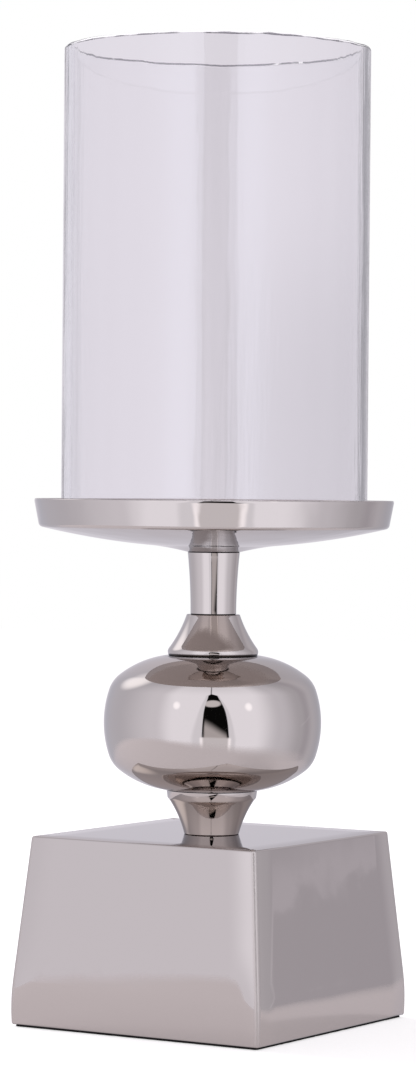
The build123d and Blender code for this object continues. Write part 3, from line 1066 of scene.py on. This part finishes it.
def wall_tone(wires, direction, around, upward):
    """Tone of the tent's wall by angle, a little dimmer towards its roof, and lighter over its fold."""
    ramp = wires.node("ValToRGB", {"Fac": (around + pi) / tau})
    ramp.color_ramp.interpolation = "EASE"
    stops = ramp.color_ramp.elements
    for index, (place, tone) in enumerate(WALL_TONES):
        position = (place + 180) / 360
        stop = stops[index] if index < 2 else stops.new(position)
        stop.position = position
        stop.color = (*tone, 1.0)
    uneven = (wires.noise(direction, FOLD_WAVES) - 0.5) * FOLD_WAVE_HEIGHT
    slope = (around - FOLD_MIDDLE) * -FOLD_SLOPE
    height = upward + (uneven + slope) - FOLD_HEIGHT
    over = height.ease(-FOLD_SOFTNESS, FOLD_SOFTNESS) * height.ease(*FOLD_FADE)
    along = around.ease(FOLD_LEFT, FOLD_LEFT + FOLD_ENDS) * around.ease(FOLD_RIGHT, FOLD_RIGHT - FOLD_ENDS)
    folded = (over * along).ease(0.0, 1.0, 1.0, FOLD_LIGHT)
    return wires.scaled(wires.outputs(ramp)["Color"], upward.ease(*ROOF, 1.0, ROOF_LIGHT) * folded)


def open_gap(wires, tent, around, upward):
    """The tent with its gap: dark behind it, with a pale shape high up, paler low down, and its hems."""
    rise = wires.make("MapRange", {"Value": upward, "From Min": GAP_FOOT, "From Max": GAP_TIP})
    narrowing = 1.0 - (rise * -GAP_TAPER + 1.0) * (1.0 - rise ** GAP_ROUNDING)
    left = narrowing * (GAP_TIP_PLACE - GAP_LEFT) + GAP_LEFT
    right = narrowing * (GAP_TIP_PLACE - GAP_RIGHT) + GAP_RIGHT
    depth = wires.math("MINIMUM", around - left, right - around)
    low = (around * LOW_SLANT + upward).ease(*LOW_START) * depth.ease(*LOW_MARGIN)
    behind = wires.mix(low, GAP_DARK, LOW_TONE)
    squares = (around / OVAL_HALVES[0]) ** 2 + ((upward - OVAL_HEIGHT) / OVAL_HALVES[1]) ** 2
    behind = wires.mix(squares.ease(1.0, 0.4), behind, OVAL_TONE)
    foot = upward.ease(GAP_FOOT + FOOT_RISE, GAP_FOOT)
    behind = wires.mix(foot, behind, FOOT_TONE)
    hem_width = rise * (HEM_WIDTHS[1] - HEM_WIDTHS[0]) + HEM_WIDTHS[0]
    past = wires.math("MAXIMUM", (left - around) / hem_width, (around - right) / (hem_width * HEM_RIGHT))
    hemmed = wires.scaled(tent, past.ease(*HEM_EDGE, 1.0, HEM_LIGHT))
    opened = wires.mix(depth.ease(0.0, GAP_SOFTNESS), hemmed, behind)
    opened = wires.mix(abs(depth).ease(BRIGHT_WIDTH, 0.0) * foot, opened, BRIGHT_TONE)
    slit = abs(around - GAP_TIP_PLACE).ease(1.5 * SLIT_HALF, 0.5 * SLIT_HALF, 0.0, SLIT_SHARE)
    return wires.mix(slit * upward.ease(*SLIT_START), opened, SLIT_TONE)


def hang_lamp(scene, stage):
    """One large soft lamp, high up at the left, behind the candle lamp."""
    data = bpy.data.lights.new("soft_lamp", "AREA")
    data.shape = "DISK"
    data.size = stage.key_size
    data.energy = stage.key_power
    lamp = bpy.data.objects.new("soft_lamp", data)
    place = stage.azimuth - stage.key_turn
    lamp.location = (stage.key_distance * sin(place), -stage.key_distance * cos(place), stage.key_height)
    lamp.rotation_euler = (-lamp.location).to_track_quat("-Z", "Y").to_euler()
    lamp.visible_glossy = False
    lamp.visible_transmission = False
    scene.collection.objects.link(lamp)


def lay_floor(stage):
    """White floor that keeps the lamp's shadow; the metal sees a cloth on it, and past that the tent's wall.

    From below the floor is clear.
    """
    bpy.ops.object.select_all(action="DESELECT")
    bpy.ops.mesh.primitive_plane_add(size=stage.floor_size, location=(0, 0, -stage.floor_drop))
    floor = bpy.context.object
    floor.name = "floor"
    floor.select_set(False)
    material, wires, _, place = new_material("white_floor")
    rays = wires.outputs(wires.node("LightPath"))
    front, right = floor_directions(stage)
    from_middle = wires.vector("SUBTRACT", place, right * stage.cloth_shift)
    to_front = wires.dot(from_middle, front / stage.cloth_depth)
    to_right = wires.dot(from_middle, right / stage.cloth_width)
    past = (to_front ** 2 + to_right ** 2).root().ease(*CLOTH_EDGE)
    tone = wires.scaled(stage.cloth_tone, rays["Glossy Depth"].ease(1.0, 2.0, 1.0, CLOTH_AGAIN))
    lit_cloth = wires.make("BsdfDiffuse", {"Color": tone})
    cloth = wires.blend(0.5, lit_cloth, wires.make("Emission", {"Color": tone}))
    matt = wires.make("BsdfDiffuse", {"Color": stage.floor_tone})
    glow = wires.make("Emission", {"Color": [stage.floor_glow] * 3})
    lit = wires.make("AddShader", {0: matt, 1: glow})
    clear = wires.make("BsdfTransparent")
    shown = wires.blend(rays["Is Glossy Ray"], matt, wires.blend(past, cloth, clear))
    seen = wires.math("MAXIMUM", rays["Is Camera Ray"], rays["Is Transmission Ray"])
    below = wires.make("NewGeometry", output="Backfacing")
    surface = wires.blend(below, wires.blend(seen, shown, lit), clear)
    wires.fill(material.node_tree.nodes["Material Output"], {"Surface": surface})
    give_finish(floor, material)


# One operator for each piece or group of like pieces

class LAMP_OT_base_block(bpy.types.Operator):
    """Copy the base block with whole faces, and polish it"""

    bl_idname = "lamp.base_block"
    bl_label = "Base Block"

    def execute(self, context):
        lamp = context.scene.candle_lamp
        foot_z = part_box("base_block")[0].z
        piece = merged_copy("base_block", "polished_base_block")
        finish = polished_finish("nickel_cast", lamp.metal, lamp.base, (foot_z, NO_SEAM), block=True)
        finish_piece(piece, "base_block", STAND, finish)
        return {"FINISHED"}


class LAMP_OT_base_felt(bpy.types.Operator):
    """Cut the felt under the base"""

    bl_idname = "lamp.base_felt"
    bl_label = "Base Felt"

    def execute(self, context):
        felt = context.scene.candle_lamp.felt
        low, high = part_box("base_felt")
        piece = merged_copy("base_felt", "cut_felt")
        select_where(piece, "EDGE", lambda edge: edge.calc_length() > high.x)
        bpy.ops.mesh.subdivide(number_cuts=felt.snips)
        bpy.ops.mesh.select_all(action="SELECT")
        bpy.ops.transform.vertex_random(offset=felt.fray, seed=4)
        for height in (low.z, high.z):
            level_row(piece, height, 1.5 * felt.fray)
        finish_piece(piece, "base_felt", STAND, felt_finish(felt))
        return {"FINISHED"}


def level_row(piece, height, reach):
    """Bring the vertices near a height back to it."""
    select_where(piece, "VERT", lambda vertex: abs(vertex.co.z - height) < reach)
    bpy.ops.transform.resize(value=(1, 1, 0), center_override=(0, 0, height))


class LAMP_OT_stem(bpy.types.Operator):
    """Turn and polish the neck, the ball, the cone and the sleeve"""

    bl_idname = "lamp.stem"
    bl_label = "Stem"

    def execute(self, context):
        lamp = context.scene.candle_lamp
        stem, metal = lamp.stem, lamp.metal
        seams = seam_heights()
        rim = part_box("lower_neck")[1].x
        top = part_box("stem_sleeve")[1].x
        pieces = (
            ("lower_neck", neck_outline, "base", "ball_low", {rim: "ball_low", stem.neck_foot: "base"}),
            ("ball_shell", ball_outline, "ball_low", "ball_high", {}),
            ("shoulder_cone", cone_outline, "ball_high", "sleeve", {stem.cone_top: "sleeve"}),
            ("stem_sleeve", sleeve_outline, "sleeve", "plate", {stem.sleeve_foot: "sleeve", top: "plate"}),
        )
        for node, outline, foot, head, edges in pieces:
            piece = turn_piece("polished_" + node, outline(stem, seams), metal.steps)
            for radius, seam in edges.items():
                soften_ring(piece, (radius, seams[seam]), stem.seam_edge)
            finish = polished_finish("nickel_" + node, metal, metal, (seams[foot], seams[head]))
            finish_piece(piece, node, STAND, finish)
        return {"FINISHED"}


class LAMP_OT_drip_plate(bpy.types.Operator):
    """Turn and polish the drip plate"""

    bl_idname = "lamp.drip_plate"
    bl_label = "Drip Plate"

    def execute(self, context):
        lamp = context.scene.candle_lamp
        plate, metal = lamp.plate, lamp.metal
        seams = seam_heights()
        corners = plate_corners(plate)
        outline = plate_outline(plate, lamp.stem, seams, corners)
        piece = turn_piece("polished_drip_plate", outline, metal.steps)
        soften_ring(piece, corners["rim_low"], plate.bowl_edge, segments=5)
        soften_ring(piece, corners["rim_outer"], 0.25 * plate.rim_edge)
        soften_ring(piece, corners["rim_lip"], 0.5 * plate.rim_edge)
        soften_ring(piece, corners["rim_inner"], plate.rim_edge)
        for corner in ("ledge_outer", "ledge_inner", "well_edge"):
            soften_ring(piece, corners[corner], plate.step_edge)
        ends = (seams["plate"], NO_SEAM)
        finish = polished_finish("nickel_drip_plate", metal, plate, ends, worn=plate.worn_roughness)
        finish_piece(piece, "drip_plate", STAND, finish)
        return {"FINISHED"}


class LAMP_OT_glass_shade(bpy.types.Operator):
    """Draw the glass cylinder with its uneven cut rim"""

    bl_idname = "lamp.glass_shade"
    bl_label = "Glass Shade"

    def execute(self, context):
        glass = context.scene.candle_lamp.glass
        low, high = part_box("glass_shade")
        outer, inner = high.x, high.x - glass.wall
        rim_foot = high.z - glass.rim_reach
        corners = [(inner, low.z), (outer, low.z), (outer, high.z), (inner, high.z)]
        outline = [*corners[:2], (outer, rim_foot), *corners[2:], (inner, rim_foot)]
        piece = turn_piece("drawn_glass_shade", outline, glass.steps)
        for place in corners:
            soften_ring(piece, place, glass.edge, segments=4)
        uneven_rim(piece, high.z, glass)
        finish_piece(piece, "glass_shade", SHADE, glass_finish(glass, outer))
        return {"FINISHED"}


def uneven_rim(piece, top, glass):
    """Let the cut rim rise and fall about a line just below its full height."""
    select_where(piece, "VERT", lambda vertex: vertex.co.z > top - 2 * glass.edge)
    bpy.ops.object.vertex_group_add()
    rim = piece.vertex_groups.active
    rim.name = "rim"
    bpy.ops.object.vertex_group_assign()
    bpy.ops.object.mode_set(mode="OBJECT")
    waves = bpy.data.textures.new("rim_waves", "CLOUDS")
    waves.noise_scale = glass.rim_wave
    apply_modifier(
        piece,
        "DISPLACE",
        texture=waves,
        texture_coords="LOCAL",
        direction="Z",
        strength=glass.rim_unevenness,
        mid_level=0.6,
        vertex_group=rim.name,
    )


class LAMP_OT_fastening(bpy.types.Operator):
    """Finish the rod, nut, washers, screws and cover inside"""

    bl_idname = "lamp.fastening"
    bl_label = "Fastening"

    def execute(self, context):
        fastening = context.scene.candle_lamp.fastening
        zinc = zinc_finish(fastening)
        for name in ("tie_rod", "rod_nut", "rod_washer", "lock_washer", "cover_screws"):
            give_finish(frame["nodes"][name], zinc)
        give_finish(frame["nodes"]["base_cover"], paint_finish(fastening))
        return {"FINISHED"}


OPERATORS = (
    LAMP_OT_stage,
    LAMP_OT_base_block,
    LAMP_OT_base_felt,
    LAMP_OT_stem,
    LAMP_OT_drip_plate,
    LAMP_OT_glass_shade,
    LAMP_OT_fastening,
)


class VIEW3D_PT_candle_lamp(bpy.types.Panel):
    """Steps that build the candle lamp"""

    bl_idname = "VIEW3D_PT_candle_lamp"
    bl_label = "Candle Lamp"
    bl_space_type = "VIEW_3D"
    bl_region_type = "UI"
    bl_category = "Candle Lamp"

    def draw(self, context):
        for operator in OPERATORS:
            self.layout.operator(operator.bl_idname)


SETTINGS = (
    MetalSettings,
    StemSettings,
    PlateSettings,
    BaseSettings,
    GlassSettings,
    FeltSettings,
    FasteningSettings,
    StageSettings,
    LampSettings,
)
CLASSES = (*SETTINGS, *OPERATORS, VIEW3D_PT_candle_lamp)


def register():
    for cls in CLASSES:
        bpy.utils.register_class(cls)
    bpy.types.Scene.candle_lamp = PointerProperty(type=LampSettings)


def unregister():
    del bpy.types.Scene.candle_lamp
    for cls in reversed(CLASSES):
        bpy.utils.unregister_class(cls)


def main():
    """Build the lamp step by step."""
    register()
    bpy.ops.lamp.stage()
    bpy.ops.lamp.base_block()
    bpy.ops.lamp.base_felt()
    bpy.ops.lamp.stem()
    bpy.ops.lamp.drip_plate()
    bpy.ops.lamp.glass_shade()
    bpy.ops.lamp.fastening()


if __name__ == "__main__":
    main()
